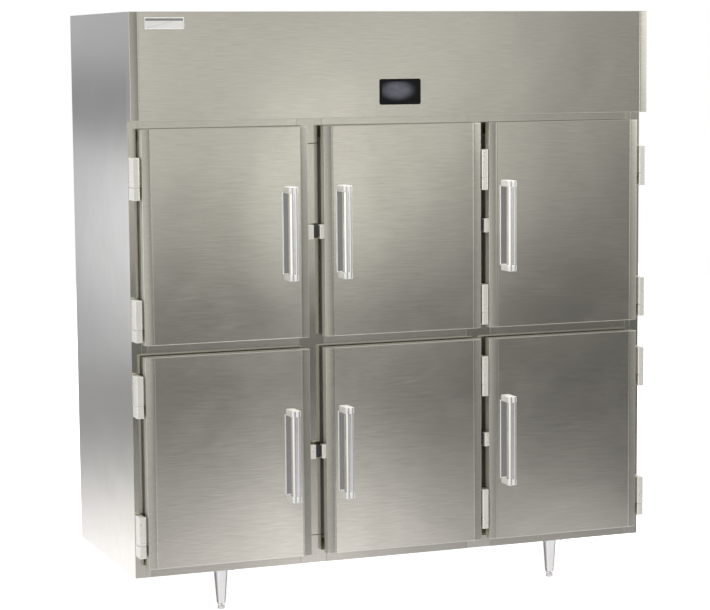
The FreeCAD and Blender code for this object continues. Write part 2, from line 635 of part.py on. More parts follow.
make_side_panels()
make_back_top_and_base()
make_stiles()
make_mullions_and_rails()
make_breaker_strips()
make_liner()
make_insulation()
make_header()
make_display()
make_nameplate()
for column in COLUMNS:
    for row in ROWS:
        make_door_panels(column, row)
        make_handle(column, row)
        make_door_hardware(column, row)
make_hinge_bases()
make_latch_keepers()
make_tray_slides()
make_legs()
make_blower_wheel()
make_air_unit()
make_humidity_tank()
make_controls()
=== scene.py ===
import json
import math

import bmesh
import bpy
from mathutils import Matrix, Vector


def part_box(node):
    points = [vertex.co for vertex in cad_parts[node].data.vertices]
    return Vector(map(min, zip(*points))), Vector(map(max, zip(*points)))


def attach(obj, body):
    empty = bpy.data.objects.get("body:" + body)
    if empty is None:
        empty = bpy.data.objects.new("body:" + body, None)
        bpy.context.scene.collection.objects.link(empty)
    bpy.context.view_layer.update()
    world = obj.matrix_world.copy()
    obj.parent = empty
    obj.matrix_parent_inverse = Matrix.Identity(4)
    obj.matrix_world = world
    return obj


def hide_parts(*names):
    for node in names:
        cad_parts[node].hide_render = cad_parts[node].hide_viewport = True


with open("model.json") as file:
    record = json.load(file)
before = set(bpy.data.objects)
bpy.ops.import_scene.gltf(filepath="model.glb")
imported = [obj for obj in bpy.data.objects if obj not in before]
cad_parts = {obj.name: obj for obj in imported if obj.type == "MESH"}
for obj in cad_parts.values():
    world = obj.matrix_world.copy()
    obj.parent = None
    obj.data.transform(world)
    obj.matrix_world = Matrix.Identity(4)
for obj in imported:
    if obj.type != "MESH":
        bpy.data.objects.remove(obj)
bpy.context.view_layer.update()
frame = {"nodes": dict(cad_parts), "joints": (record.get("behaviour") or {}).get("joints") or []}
NODES = frame["nodes"]
DOORS = [f"{row}_{col}_door" for row in ("upper", "lower") for col in ("left", "center", "right")]
JOINTS = {joint["child"]: joint for joint in frame["joints"]}


# ---------------------------------------------------------------- material helpers

MIX_COLOR_A, MIX_COLOR_B, MIX_COLOR_OUT = 6, 7, 2     # a Mix node's colour sockets


class Graph:
    """A short way to write the nodes of a material or of the world."""

    def __init__(self, name, world=False):
        blocks = bpy.data.worlds if world else bpy.data.materials
        self.mat = blocks.new(name)
        self.mat.use_nodes = True
        self.tree = self.mat.node_tree
        self.tree.nodes.clear()
        self.out = self.node("ShaderNodeOutputWorld" if world else "ShaderNodeOutputMaterial")

    def node(self, kind, inputs=None, **props):
        n = self.tree.nodes.new(kind)
        for key, value in props.items():
            setattr(n, key, value)
        for key, value in (inputs or {}).items():
            self.put(n, key, value)
        return n

    def put(self, n, key, value):
        sock = n.inputs[key]
        if isinstance(value, bpy.types.NodeSocket):
            self.tree.links.new(value, sock)
        else:
            sock.default_value = value

    def coords(self, scale=(1, 1, 1), offset=(0, 0, 0)):
        place = self.node("ShaderNodeTexCoord").outputs["Object"]
        ins = {"Vector": place, "Scale": scale, "Location": offset}
        return self.node("ShaderNodeMapping", ins).outputs["Vector"]

    def noise(self, vec, scale, detail=3.0, rough=0.5, distortion=0.0):
        n = self.node("ShaderNodeTexNoise", {"Vector": vec, "Scale": scale, "Detail": detail,
                                             "Roughness": rough, "Distortion": distortion})
        return n.outputs["Fac"]

    def ramp(self, fac, lo, hi, to_lo=0.0, to_hi=1.0, smooth=False):
        n = self.node("ShaderNodeMapRange", {"Value": fac, "From Min": lo, "From Max": hi,
                                             "To Min": to_lo, "To Max": to_hi})
        n.interpolation_type = "SMOOTHSTEP" if smooth else "LINEAR"
        return n.outputs["Result"]

    def math(self, op, a, b=0.0):
        return self.node("ShaderNodeMath", {0: a, 1: b}, operation=op).outputs[0]

    def mix(self, fac, a, b, mode="MIX"):
        n = self.node("ShaderNodeMix", data_type="RGBA", blend_type=mode)
        n.clamp_factor = True
        self.put(n, "Factor", fac)
        for key, value in ((MIX_COLOR_A, a), (MIX_COLOR_B, b)):
            self.put(n, key, (value, value, value, 1.0) if isinstance(value, float) else value)
        return n.outputs[MIX_COLOR_OUT]

    def bump(self, height, strength, distance, normal=None):
        ins = {"Height": height, "Strength": strength, "Distance": distance}
        if normal is not None:
            ins["Normal"] = normal
        return self.node("ShaderNodeBump", ins).outputs["Normal"]

    def principled(self, **ins):
        n = self.node("ShaderNodeBsdfPrincipled")
        for key, value in ins.items():
            self.put(n, key.replace("_", " "), value)
        self.tree.links.new(n.outputs[0], self.out.inputs[0])
        return n

    def curve(self, fac, points, lo, hi, top=2.0):
        """A smooth curve through (input, value) points, for inputs from lo to hi and values up to top."""
        n = self.node("ShaderNodeFloatCurve")
        line = n.mapping.curves[0]
        pts = [((x - lo) / (hi - lo), y / top) for x, y in points]
        line.points[0].location = pts[0]
        line.points[-1].location = pts[-1]
        for p in pts[1:-1]:
            line.points.new(*p)
        n.mapping.update()
        self.put(n, "Value", self.ramp(fac, lo, hi))
        return self.math("MULTIPLY", n.outputs[0], top)


def grey(v, warm=0.0):
    """A grey of brightness v, warmer or (below 0) cooler."""
    return (v * (1 + warm), v, v * (1 - warm), 1.0)


STEEL = (1.0, 0.965, 0.83)            # tint of the stainless sheet
HAIR_SCALE = (620.0, 22.0)            # across and along the finest brush lines
BAND_SCALE = (270.0, 15.0)            # and the wider ones
SPECK_SCALE = 330.0
BRUSH_SHADE = 0.09                    # how far brush lines lighten and darken the sheet


def steel(v, mix=1.0):
    """The stainless tint at brightness v, by the share mix."""
    return tuple(v * (1 + (c - 1) * mix) for c in STEEL) + (1.0,)


def brushed_scale(across, along, grain):
    """Noise scale that draws lines along one axis."""
    return tuple(along if axis == grain else across for axis in "XYZ")


def stainless(name, grain, tone=0.60, tinted=1.0, rough=0.14, aniso=0.4, streak=1.0, metal=1.0):
    """Brushed stainless sheet. grain is the axis that the brush lines follow."""
    g = Graph(name)
    v = g.coords()
    hair = g.noise(g.coords(brushed_scale(*HAIR_SCALE, grain)), 1.0, 2.0, 0.6)
    band = g.noise(g.coords(brushed_scale(*BAND_SCALE, grain), (0.37, 1.9, 0.8)), 1.0, 3.0, 0.55)
    cloud = g.noise(v, 1.7, 2.0, 0.5, 0.3)
    patch = g.noise(v, 7.5, 4.0, 0.6, 0.3)
    speck = g.noise(v, SPECK_SCALE, 1.0, 0.5)
    lines = g.math("ADD", g.math("MULTIPLY", hair, 0.25), g.math("MULTIPLY", band, 0.6))
    lines = g.math("ADD", lines, g.math("MULTIPLY", speck, 0.15))
    shade = BRUSH_SHADE * streak
    dark, light = steel(tone * (1 - shade), tinted), steel(tone * (1 + shade), tinted)
    tint = g.mix(g.ramp(lines, 0.3, 0.7), dark, light)
    tint = g.mix(g.ramp(cloud, 0.35, 0.7, 0.0, 0.3, True), tint, steel(tone * 0.95, tinted * 0.8))
    r = g.math("ADD", g.ramp(hair, 0.25, 0.75, rough - 0.003 * streak, rough + 0.005 * streak),
               g.ramp(patch, 0.45, 0.75, 0.0, 0.012, True))
    uneven = g.bump(cloud, 1.0, 0.00175)
    normal = g.bump(lines, 0.08 * streak, 0.0005, uneven)
    bsdf = g.principled(Base_Color=tint, Metallic=metal, Roughness=r, Normal=normal)
    bsdf.inputs["Anisotropic"].default_value = aniso
    if aniso > 0:
        tangent = g.node("ShaderNodeTangent", direction_type="RADIAL", axis="Z")
        g.put(bsdf, "Tangent", tangent.outputs[0])
        bsdf.inputs["Anisotropic Rotation"].default_value = 0.0 if grain == "Z" else 0.25
    return g.mat


def polished(name, tone, rough, metal, tinted=0.25):
    """Cast and buffed bright metal."""
    g = Graph(name)
    v = g.coords()
    buff = g.noise(g.coords(scale=(1.0, 1.0, 0.25)), 420.0, 2.0, 0.5)
    grime = g.noise(v, 38.0, 2.0, 0.5)
    worn = g.ramp(grime, 0.35, 0.75, 0.0, 0.5, True)
    tint = g.mix(worn, steel(tone, tinted), steel(tone * 0.95, tinted + 0.15))
    fine = g.ramp(buff, 0.3, 0.7, rough - 0.01, rough + 0.01)
    r = g.math("ADD", fine, g.ramp(grime, 0.4, 0.8, 0.0, 0.02))
    n = g.bump(buff, 0.02, 0.0001, g.bump(g.noise(v, 14.0, 1.0), 0.1, 0.0003))
    g.principled(Base_Color=tint, Metallic=metal, Roughness=r, Normal=n)
    return g.mat


def moulded(name, tone, rough=0.45, grain=900.0, warm=0.0, shine=0.5):
    """Moulded plastic or rubber with a fine texture and slight dust."""
    g = Graph(name)
    v = g.coords()
    tex = g.noise(v, grain, 2.0, 0.6)
    dust = g.noise(v, 14.0, 4.0, 0.65)
    dusty = grey(tone * 1.5 + 0.01 * shine, warm)
    tint = g.mix(g.ramp(dust, 0.45, 0.8, 0.0, 0.35, True), grey(tone, warm), dusty)
    r = g.math("ADD", g.ramp(tex, 0.3, 0.7, rough - 0.05, rough + 0.05), g.ramp(dust, 0.5, 0.8, 0.0, 0.12))
    bsdf = g.principled(Base_Color=tint, Roughness=r, Normal=g.bump(tex, 0.15, 0.0003))
    bsdf.inputs["Specular IOR Level"].default_value = shine
    return g.mat


PAINTED_SHEEN_SCALE = (13.0, 13.0, 24.0)      # the screen's painted highlight reaches about one scaled unit from its centre
PAINTED_SHEEN_OFFSET = (0.14, 0.0, -43.80)


def window(name):
    """A switched-off screen: near black, with a soft cool highlight painted into its colour round one spot.
    """
    g = Graph(name)
    v = g.coords(PAINTED_SHEEN_SCALE, PAINTED_SHEEN_OFFSET)
    sep = g.node("ShaderNodeSeparateXYZ", {0: v})
    far = g.math("ADD", g.math("POWER", sep.outputs[0], 2.0), g.math("POWER", sep.outputs[2], 2.0))
    dust = g.noise(g.coords(), 60.0, 3.0, 0.6)
    # painted highlight: the colour grows lighter towards that spot, standing in for a reflection
    painted_sheen = g.math("MULTIPLY", g.ramp(far, 1.1, 0.0, 0.0, 1.0, True), g.ramp(dust, 0.2, 0.8, 0.85, 1.1))
    tint = g.mix(g.math("POWER", painted_sheen, 1.6), (0.002, 0.002, 0.002, 1), (0.085, 0.088, 0.105, 1))
    bsdf = g.principled(Base_Color=tint, Roughness=g.ramp(dust, 0.3, 0.8, 0.10, 0.16))
    bsdf.inputs["Specular IOR Level"].default_value = 0.15
    return g.mat


M = {
    "front": stainless("front_sheet_brushed", "X"),
    "header": stainless("header_sheet_brushed", "X"),
    "returns": stainless("folded_edge", "Z", tone=0.62, rough=0.3, metal=0.55),
    "rail_top": stainless("top_rail_sheet", "X", tone=0.60, rough=0.15),
    "side": stainless("side_sheet_brushed", "Z", tone=0.60),
    "frame_z": stainless("frame_sheet_upright", "Z", tone=0.56, rough=0.15),
    "frame_x": stainless("frame_sheet_level", "X", tone=0.50, rough=0.15),
    "inner": stainless("inner_sheet_brushed", "Z", tone=0.62, rough=0.3),
    "rear": stainless("rear_sheet", "Z", tone=0.56, rough=0.36, aniso=0.0, metal=0.85),
    "cast": polished("cast_metal", 0.80, 0.28, 0.70, tinted=0.7),
    "grip": polished("buffed_metal", 0.80, 0.16, 0.88),
    # a dark copy of the polished metal: painted shade for the pull's back plate and the hinge wings, which
    # sit in shade
    "recess": polished("recessed_metal", 0.34, 0.24, 0.9),
    "polished": polished("polished_metal", 0.78, 0.24, 0.85),
    "plate": polished("plate_metal", 0.62, 0.35, 0.35),
    "ends": polished("cast_ends", 0.86, 0.3, 0.3),
    "leg": stainless("leg_metal", "Z", tone=0.78, tinted=0.4, rough=0.24, streak=0.5),
    "gloss_black": moulded("display_trim", 0.002, 0.42, 500.0, shine=0.15),
    "black": moulded("black_plastic", 0.02),
    "breaker": moulded("breaker_plastic", 0.16),
    "rubber": moulded("seal_rubber", 0.32, 0.6, 900.0, -0.06),
    "glass": window("display_window"),
    "foam": moulded("foam", 0.5, 0.8),
    "motor": moulded("motor_paint", 0.03, 0.35),
}


# CAD solids that are shown as they are, and their materials
PLAIN = {
    "base_panel": "rear", "insulation": "foam", "liner_panels": "inner",
    "display_screen": "glass", "blower_housing": "rear", "blower_motor": "motor", "heater_element": "rear",
    "humidity_tank": "inner", "control_box": "rear", "supply_gland": "black", "blower_wheel": "inner",
}
for node, key in PLAIN.items():
    NODES[node].data.materials.clear()
    NODES[node].data.materials.append(M[key])


# ---------------------------------------------------------------- mesh helpers

def inset(pts, d):
    """A closed outline (counter-clockwise) moved inwards by d."""
    if d == 0:
        return list(pts)
    out = []
    n = len(pts)
    for i, p in enumerate(pts):
        a, b = pts[i - 1], pts[(i + 1) % n]
        e1 = Vector((p[0] - a[0], p[1] - a[1])).normalized()
        e2 = Vector((b[0] - p[0], b[1] - p[1])).normalized()
        n1, n2 = Vector((-e1.y, e1.x)), Vector((-e2.y, e2.x))
        m = n1 + n2
        m = m / max(m.length_squared / 2, 0.35)
        out.append((p[0] + m.x * d, p[1] + m.y * d))
    return out


def rounded(x, y, r, seg=4):
    """A rounded rectangle outline, counter-clockwise. r is one radius, or four from the low corner round."""
    rs = r if isinstance(r, (list, tuple)) else [r] * 4
    centers = [(x[0], y[0], 180), (x[1], y[0], 270), (x[1], y[1], 0), (x[0], y[1], 90)]
    pts = []
    for (cx, cy, start), q in zip(centers, rs):
        if q <= 0:
            pts.append((cx, cy))
            continue
        ox = cx + q if cx == x[0] else cx - q
        oy = cy + q if cy == y[0] else cy - q
        for k in range(seg + 1):
            t = math.radians(start + 90 * k / seg)
            pts.append((ox + q * math.cos(t), oy + q * math.sin(t)))
    return pts


SWAP = {"Z": lambda u, v, w: (u, v, w), "X": lambda u, v, w: (w, u, v), "Y": lambda u, v, w: (v, w, u)}


def counter_clockwise(pts):
    """The same outline, turned round if it runs clockwise."""
    area = sum(a[0] * b[1] - b[0] * a[1] for a, b in zip(pts, pts[1:] + pts[:1]))
    return pts[::-1] if area < 0 else pts


def ring(bm, places):
    """New vertices at the given places."""
    return [bm.verts.new(place) for place in places]


def bridge(bm, rings, flip=False, closed=False):
    """Joins rings of equal length with bands of faces. closed joins the last ring to the first one too."""
    following = rings[1:] + rings[:1] if closed else rings[1:]
    for a, b in zip(rings, following):
        for i in range(len(a)):
            j = (i + 1) % len(a)
            bm.faces.new((a[i], b[i], b[j], a[j]) if flip else (a[i], a[j], b[j], b[i]))


def prism(bm, pts, lo, hi, r=0.0, axis="Z", seg=3, rows=()):
    """Adds a closed outline swept along an axis, with its ends rounded over by r. Returns its vertices."""
    put = SWAP[axis]
    stations = []
    if r > 0:
        for k in range(seg, -1, -1):
            t = math.radians(90 * k / seg)
            stations.append((lo + r * (1 - math.sin(t)), r * (1 - math.cos(t))))
    else:
        stations.append((lo, 0.0))
    ends = [(hi + lo - w, d) for w, d in reversed(stations)]
    between = [(lo + (hi - lo) * share, 0.0) for share in rows]
    rings = [ring(bm, [put(u, v, w) for u, v in inset(pts, d)]) for w, d in stations + between + ends]
    bridge(bm, rings)
    bm.faces.new(rings[0][::-1])
    bm.faces.new(rings[-1])
    return [v for vs in rings for v in vs]


def lathe(bm, profile, x, y, seg=40):
    """Adds a turned shape about an upright axis from (radius, z) pairs, bottom to top.

    A first radius of 0 closes the bottom with a fan of triangles, and any other with one flat face.
    """
    turns = [2 * math.pi * i / seg for i in range(seg)]
    tip = bm.verts.new((x, y, profile[0][1])) if profile[0][0] == 0 else None
    rings = [ring(bm, [(x + r * math.cos(t), y + r * math.sin(t), z) for t in turns])
             for r, z in profile if r > 0]
    bridge(bm, rings)
    if tip is None:
        bm.faces.new(rings[0][::-1])
    else:
        for i in range(seg):
            bm.faces.new((tip, rings[0][(i + 1) % seg], rings[0][i]))
    bm.faces.new(rings[-1])


def finish_piece(name, bm, mat, body, angle):
    bmesh.ops.recalc_face_normals(bm, faces=bm.faces)
    mesh = bpy.data.meshes.new(name)
    bm.to_mesh(mesh)
    bm.free()
    mesh.shade_smooth()
    mesh.set_sharp_from_angle(angle=math.radians(angle))
    mesh.materials.append(mat)
    obj = bpy.data.objects.new(name, mesh)
    bpy.context.scene.collection.objects.link(obj)
    flat = obj.modifiers.new("flat_faces", "WEIGHTED_NORMAL")
    flat.keep_sharp = True
    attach(obj, body)
    return obj


WELD = 1e-5                           # vertices closer than this are one


def span(node, axis):
    lo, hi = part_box(node)
    return lo[axis], hi[axis]


def box3(node):
    return span(node, 0), span(node, 1), span(node, 2)


def islands(node):
    """The boxes of a node's separate solids."""
    bm = bmesh.new()
    bm.from_mesh(NODES[node].data)
    bmesh.ops.remove_doubles(bm, verts=bm.verts, dist=WELD)
    seen, out = set(), []
    for start in bm.verts:
        if start.index in seen:
            continue
        stack, group = [start], []
        seen.add(start.index)
        while stack:
            v = stack.pop()
            group.append(v.co.copy())
            for edge in v.link_edges:
                other = edge.other_vert(v)
                if other.index not in seen:
                    seen.add(other.index)
                    stack.append(other)
        lo = Vector([min(c[i] for c in group) for i in range(3)])
        hi = Vector([max(c[i] for c in group) for i in range(3)])
        out.append((lo, hi))
    bm.free()
    return sorted(out, key=lambda b: (round(b[0].x, 3), round(b[0].z, 3), round(b[0].y, 3)))


# ---------------------------------------------------------------- doors and header

DOOR_DROP, HEADER_DROP = 0.005, 0.004     # how far the end strips fall back at the outer edge
DOOR_CROWN, HEADER_CROWN = 0.0010, 0.0006   # how far the middle of a sheet stands forward
STRIP = 0.032                         # width of the end strips
STRIP_STEPS = 10
STRIP_CURVE = 1.6                     # power of the strip's hollow section
STRIP_EDGE = (0.0008, 0.0004)         # the small fold where a strip meets the face: width, depth
SKIN_RADIUS = 0.0022
SKIN_ROUND = 0.0018                   # top and bottom edges
FACE_CELLS = (14, 16)                 # across and up, so that the crown can bend the face
FACE_SUPPORT = 0.004                  # share of the width, for a row that keeps the edge crisp
ROW_SUPPORT = 0.0045                  # the same for the height


def shares(cells, support):
    """Shares of a length: even divisions, and one more row close to each end."""
    return [support] + [k / cells for k in range(1, cells)] + [1 - support]


def skin_outline(x, y_front, y_back, drop):
    """Plan outline of a folded front skin: hollow strips at both ends of a nearly flat face."""
    x0, x1 = x
    r = SKIN_RADIUS
    right = []
    for k in range(6):
        t = math.radians(90 * k / 5)
        right.append((x1 - r + r * math.cos(t), y_front + drop + r - r * math.sin(t)))
    for k in range(1, STRIP_STEPS):
        t = 1 - k / STRIP_STEPS
        right.append((x1 - r - (STRIP - r) * (1 - t), y_front + drop * t ** STRIP_CURVE))
    right.append((x1 - STRIP, y_front + STRIP_EDGE[1]))
    right.append((x1 - STRIP - STRIP_EDGE[0], y_front))
    left = [(x0 + x1 - px, py) for px, py in reversed(right)]
    a, b = right[-1][0], left[0][0]
    face = [(a + (b - a) * t, y_front) for t in shares(FACE_CELLS[0], FACE_SUPPORT)]
    loop = [(x1, y_back)] + right + face + left + [(x0, y_back)]
    return loop[::-1]


def front_skin(name, x, y, z, drop, crown, mats, body, node):
    """A folded front: its face and strips in the first material, its side returns in the second."""
    bm = bmesh.new()
    pts = skin_outline(x, y[0], y[1], drop)
    verts = prism(bm, pts, z[0], z[1], SKIN_ROUND, "Z", 4, shares(FACE_CELLS[1], ROW_SUPPORT))
    xc, zc = sum(x) / 2, sum(z) / 2
    hx, hz = (x[1] - x[0]) / 2 - STRIP, (z[1] - z[0]) / 2
    for v in verts:
        if v.co.y < y[0] + 0.0003 and abs(v.co.x - xc) < hx:
            u, w = abs(v.co.x - xc) / hx, abs(v.co.z - zc) / hz
            v.co.y -= crown * (1 - u ** 3) * (1 - w ** 3)
    for f in bm.faces:
        f.normal_update()
        f.material_index = 1 if abs(f.normal.x) > 0.9 else 0
    obj = finish_piece(name, bm, mats[0], body, 12.0)
    obj.data.materials.append(mats[1])
    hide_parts(node)


SCREW_PROFILE = ((1.0, 0.0), (0.96, 0.6), (0.72, 0.95), (0.45, 1.0), (0.40, 0.45))   # radius, height
SCREW_SEGMENTS = 18


def screw(bm, place, r, rise, axis="Y"):
    """A low domed screw head with a recess, standing on a surface that faces along +Y or +Z."""
    px, py, pz = place
    rings = []
    for wide, high in SCREW_PROFILE:
        places = []
        for i in range(SCREW_SEGMENTS):
            t = 2 * math.pi * i / SCREW_SEGMENTS
            a, b, up = r * wide * math.cos(t), r * wide * math.sin(t), rise * high
            places.append((px + a, py + up, pz + b) if axis == "Y" else (px + a, py + b, pz + up))
        rings.append(ring(bm, places))
    bridge(bm, rings)
    bm.faces.new(rings[-1])


GASKET_WIDTH = 0.018
PLUG_MARGIN = 0.009                   # gasket to the raised panel
PLUG_RADIUS = 0.022
PLUG_STEPS = 6
PLUG_TOP_INSET = 0.013
LINER_SHEET = 0.0008
LINER_SCREW = (0.0028, 0.0008)        # radius, height
LINER_SCREW_INSET = (0.0105, 0.02)    # from the sheet's sides and ends


def door_liner(door):
    """Inner skin: a flat sheet with a raised and rounded centre panel, and six screws."""
    x, y, z = box3(f"{door}_liner")
    gx, _, gz = box3(f"{door}_gasket")
    m = GASKET_WIDTH + PLUG_MARGIN
    back = span(f"{door}_pan", 1)[1]
    rise = y[1] - back
    bm = bmesh.new()
    prism(bm, rounded(z, x, 0.002, 3), back - LINER_SHEET, back, 0.0003, "Y", 2)
    outline = rounded((gz[0] + m, gz[1] - m), (gx[0] + m, gx[1] - m), PLUG_RADIUS, 6)
    levels = []
    for k in range(PLUG_STEPS + 1):
        t = k / PLUG_STEPS
        quarter = t * math.pi / 2
        levels.append((back + rise * math.sin(quarter), 0.006 * (1 - math.cos(quarter)) + 0.004 * t))
    levels.append((back + rise, PLUG_TOP_INSET))
    rings = [ring(bm, [(v, w, u) for u, v in inset(outline, d)]) for w, d in levels]
    bridge(bm, rings)
    bm.faces.new(rings[-1])
    side, end = LINER_SCREW_INSET
    for zz in (z[0] + end, sum(z) / 2, z[1] - end):
        for xx in (x[0] + side, x[1] - side):
            screw(bm, (xx, back, zz), *LINER_SCREW)
    obj = finish_piece(f"{door}_inner_skin", bm, M["inner"], door, 30.0)
    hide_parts(f"{door}_liner")


# from the outer edge, and as a share of the depth
GASKET_SECTION = ((0.0030, 0.0), (0.0030, 0.10), (0.0, 0.16), (0.0, 0.27), (0.0030, 0.36), (0.0030, 0.44),
                  (0.0, 0.54), (0.0, 0.66), (0.0016, 0.76), (0.0016, 0.92), (0.0030, 1.0), (0.0150, 1.0),
                  (0.0168, 0.93), (0.0168, 0.7), (0.0180, 0.6), (0.0180, 0.5), (0.0150, 0.42), (0.0150, 0.3),
                  (0.0180, 0.2), (0.0180, 0.08), (0.0160, 0.0))


def gasket(door):
    """A soft seal with a bellows on its side, mitred round the door."""
    x, y, z = box3(f"{door}_gasket")
    depth = y[1] - y[0]
    bm = bmesh.new()
    corners = ((x[0], z[0], 1, 1), (x[1], z[0], -1, 1), (x[1], z[1], -1, -1), (x[0], z[1], 1, -1))
    rings = []
    for cx, cz, sx, sz in corners:
        rings.append(ring(bm, [(cx + sx * u, y[0] + depth * t, cz + sz * u) for u, t in GASKET_SECTION]))
    bridge(bm, rings, flip=True, closed=True)
    obj = finish_piece(f"{door}_seal", bm, M["rubber"], door, 50.0)
    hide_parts(f"{door}_gasket")


POST_HEIGHT = 0.023                   # end blocks of the handle
POST_HALF = 0.016
GRIP_SET_BACK = 0.0022                # grip front behind the posts' front, without its beads
GRIP_DEPTH = 0.029
BEADS = (-0.0056, 0.0102)             # centres, across the grip
BEAD_HALF, BEAD_RISE = 0.0044, 0.0016
PULL_RIM = (0.0036, 0.0042)           # width and rise of the rims along the back plate
PULL_RECESS = 0.0016                  # the plate's face between them
INTO_DOOR = 0.0005                    # how far the pull reaches into the door skin


def bead(cx, y, seg=7):
    """Points over a half-round bead, from left to right."""
    turns = [math.pi * k / seg for k in range(seg + 1)]
    return [(cx - BEAD_HALF * math.cos(t), y - BEAD_RISE * math.sin(t)) for t in turns]


def grip_outline(c, front):
    """Plan outline of the grip: rounded sides, and two beads along its front."""
    back = front + GRIP_DEPTH
    left = [(-0.0146, back - 0.007), (-0.0146, front + 0.0130), (-0.0142, front + 0.0090),
            (-0.0131, front + 0.0060), (-0.0116, front + 0.0038)]
    beads = [point for cx in BEADS for point in bead(cx, front + GRIP_SET_BACK)]
    right = [(0.0155, front + 0.0042), (0.0158, front + 0.0080), (0.0158, back - 0.007)]
    rear = [(0.0140, back - 0.0025), (0.0105, back - 0.0005), (0.0, back), (-0.0105, back - 0.0005),
            (-0.0135, back - 0.0025)]
    return [(c + px, py) for px, py in left + beads + right + rear]


def handle(door):
    """Grip with two beads along its front, between two end blocks, over a rimmed back plate."""
    x, y, z = box3(f"{door}_handle")
    plate = span(f"{door}_pan", 1)[0]
    c, half, front = sum(x) / 2, (x[1] - x[0]) / 2, y[0]
    into = plate + INTO_DOOR
    bm = bmesh.new()
    prism(bm, grip_outline(c, front), z[0] + 0.001, z[1] - 0.001, 0.0008, "Z", 2)
    obj = finish_piece(f"{door}_grip", bm, M["grip"], door, 40.0)
    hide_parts(f"{door}_handle")
    obj.visible_glossy = False

    bm = bmesh.new()
    corners = (0.0065, 0.0030, 0.0012, 0.0012)
    block = rounded((c - POST_HALF, c + POST_HALF), (front + 0.0012, into), corners, 6)
    prism(bm, block, z[0], z[0] + POST_HEIGHT, 0.0026, "Z", 4)
    prism(bm, block, z[1] - POST_HEIGHT, z[1], 0.0026, "Z", 4)
    wide, rise = PULL_RIM
    lo, hi = z[0] + POST_HEIGHT - 0.004, z[1] - POST_HEIGHT + 0.004
    for side in (-1, 1):
        edges = sorted((c + side * half, c + side * (half - wide)))
        flange = rounded(edges, (plate - rise, into), (0.0016, 0.0016, 0.0, 0.0), 4)
        prism(bm, flange, lo, hi, 0.001, "Z", 3)
    obj = finish_piece(f"{door}_pull_ends", bm, M["ends"], door, 40.0)
    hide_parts(f"{door}_handle")
    obj.visible_glossy = False

    # the back plate between the rims, in the dark metal: painted shade for the shadow behind the grip
    bm = bmesh.new()
    inner = half - wide + 0.0005
    prism(bm, rounded((c - inner, c + inner), (plate - PULL_RECESS, into), 0.0, 1), lo, hi, 0.0, "Z")
    obj = finish_piece(f"{door}_pull_recess", bm, M["recess"], door, 32.0)
    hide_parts(f"{door}_handle")


HINGE_HALF = 0.0125                   # half width of a hinge block
HINGE_ROUND = 0.0018                  # its top and bottom edges
HINGE_PIN = 0.0049
LEAF = 0.003                          # the plate behind a hinge's frame half
WING = (0.002, 0.016)                 # back of the hinge axis, the wing's front and rear
WING_END_GAP = 0.0012


def knuckle_outline(cx, cy, y_back):
    """Plan outline of a hinge block with rounded front edges."""
    radii = (0.0050, 0.0050, 0.0008, 0.0008)
    return rounded((cx - HINGE_HALF, cx + HINGE_HALF), (cy - HINGE_HALF, y_back), radii, 6)


def hinge_spots(door):
    """The boxes of a door's two moving hinge halves and of its latch block."""
    parts = islands(f"{door}_hinges")
    parts.sort(key=lambda b: b[1].z - b[0].z)
    return parts[-2:], parts[0]


def door_hardware(door):
    """The moving hinge halves with their wings, and the latch block."""
    ax, ay = JOINTS[door]["pos_m"][:2]
    halves, latch = hinge_spots(door)
    px = span(f"{door}_pan", 0)
    edge = px[0] if abs(px[0] - ax) < abs(px[1] - ax) else px[1]
    way = 1 if edge > ax else -1
    reach = sorted((ax + way * HINGE_HALF * 0.6, edge + way * 0.0006))
    wing = rounded(reach, (ay + WING[0], ay + WING[1]), 0.0012, 3)
    bm = bmesh.new()
    wings = bmesh.new()
    for lo, hi in halves:
        prism(bm, knuckle_outline(ax, ay, hi.y), lo.z, hi.z, HINGE_ROUND, "Z", 4)
        prism(wings, wing, lo.z + WING_END_GAP, hi.z - WING_END_GAP, 0.001, "Z", 3)
    lo, hi = latch
    prism(bm, rounded((lo.x, hi.x), (lo.y, hi.y), 0.0035, 4), lo.z, hi.z, 0.0025, "Z", 4)
    obj = finish_piece(f"{door}_hardware", bm, M["cast"], door, 32.0)
    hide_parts(f"{door}_hinges")
    # the wings in the dark metal: painted shade, as they sit back in shade behind the hinge blocks
    obj = finish_piece(f"{door}_hinge_wings", wings, M["recess"], door, 32.0)
    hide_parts(f"{door}_hinges")


def hinge_base_below(ax, z):
    """The box of the frame half that carries a moving half, whose axis is at ax and lower end at z."""
    for lo, hi in islands("hinge_bases"):
        if abs((lo.x + hi.x) / 2 - ax) < 0.003 and lo.z < z < hi.z:
            return lo, hi


def hinge_bases():
    """The frame halves of the hinges, with their leaves and pins."""
    bm = bmesh.new()
    face = span("stiles", 1)[0]
    for door in DOORS:
        ax, ay = JOINTS[door]["pos_m"][:2]
        halves, _ = hinge_spots(door)
        leaf = rounded((ax - HINGE_HALF, ax + HINGE_HALF), (face - LEAF, face), (0.001, 0.001, 0, 0), 3)
        for lo, _ in halves:
            bottom, top = (corner.z for corner in hinge_base_below(ax, lo.z))
            prism(bm, knuckle_outline(ax, ay, face - 0.0002), bottom, lo.z - 0.0006, HINGE_ROUND, "Z", 4)
            prism(bm, leaf, bottom, top, 0.001, "Z", 3)
            lathe(bm, [(HINGE_PIN, lo.z - 0.004), (HINGE_PIN, top - 0.021)], ax, ay, 20)
    obj = finish_piece("hinge_frame_halves", bm, M["cast"], "cabinet", 32.0)
    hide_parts("hinge_bases")


SKIN_SHORT = 0.0003                   # keeps the rear of a door's skin out of the plane of its liner's


def door_skin(door):
    """A door's outer skin, a little shallower than its CAD pan."""
    x, y, z = box3(f"{door}_pan")
    y = (y[0], y[1] - SKIN_SHORT)
    mats = (M["front"], M["returns"])
    front_skin(f"{door}_skin", x, y, z, DOOR_DROP, DOOR_CROWN, mats, door, f"{door}_pan")


